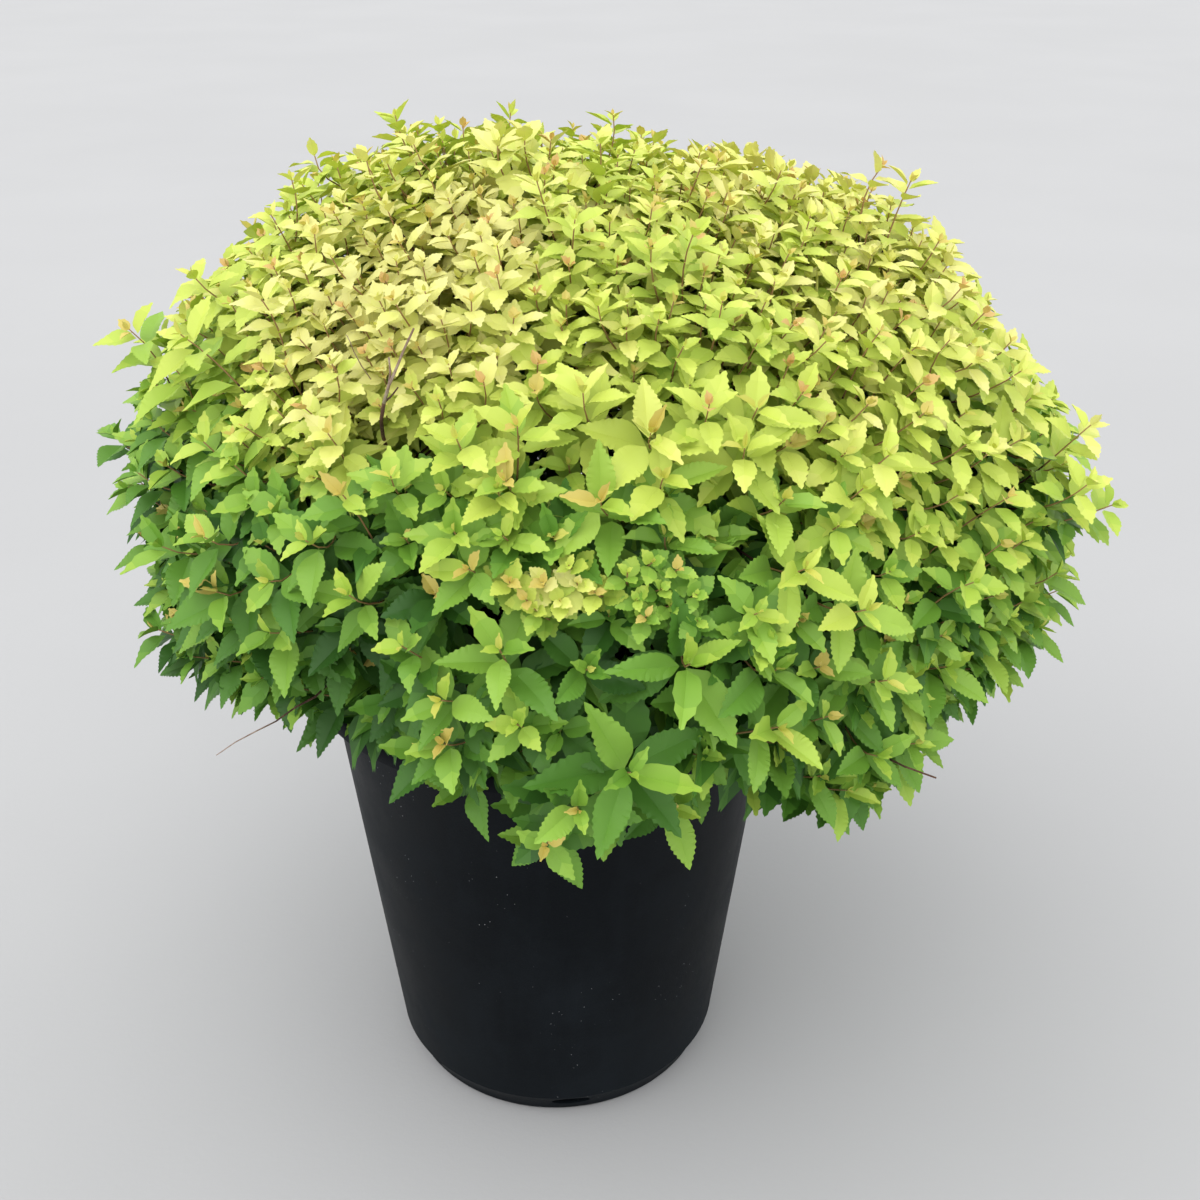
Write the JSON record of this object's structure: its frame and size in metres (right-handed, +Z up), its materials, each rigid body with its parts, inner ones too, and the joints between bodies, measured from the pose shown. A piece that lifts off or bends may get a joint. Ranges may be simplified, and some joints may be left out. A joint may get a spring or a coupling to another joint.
{
  "type": "potted spirea shrub",
  "caption": "Low mounded spirea shrub with gold to lime-green foliage, in a black tapered nursery pot that it stands in.",
  "frame": {"origin": "centre of the pot's flat underside, on the surface it stands on", "axes": "+Z up along the pot's axis, -Y towards the front of the plant, +X to the right"},
  "size_m": [0.5887, 0.5183, 0.5955],
  "materials": {
    "pot_plastic": "black moulded polypropylene, dusty satin",
    "bark_mix": "rough shredded bark potting mix",
    "bark": "thin reddish-brown bark",
    "gold_leaves": "soft matte leaf, golden yellow",
    "lime_leaves": "soft matte leaf, lime",
    "green_leaves": "soft matte leaf, mid green"
  },
  "bodies": {
    "root": {"pot": "pot_plastic", "potting_soil": "bark_mix", "stem": "bark", "bough_top": "bark", "bough_upper_1": "bark", "bough_upper_2": "bark", "bough_upper_3": "bark", "bough_upper_4": "bark", "bough_upper_5": "bark", "bough_lower_1": "bark", "bough_lower_2": "bark", "bough_lower_3": "bark", "bough_lower_4": "bark", "bough_lower_5": "bark", "bough_lower_6": "bark", "bough_lower_7": "bark", "foliage_top": "gold_leaves", "foliage_upper_1": "lime_leaves", "foliage_upper_2": "lime_leaves", "foliage_upper_3": "lime_leaves", "foliage_upper_4": "lime_leaves", "foliage_upper_5": "lime_leaves", "foliage_lower_1": "green_leaves", "foliage_lower_2": "green_leaves", "foliage_lower_3": "green_leaves", "foliage_lower_4": "green_leaves", "foliage_lower_5": "green_leaves", "foliage_lower_6": "green_leaves", "foliage_lower_7": "green_leaves"}
  },
  "joints": []
}
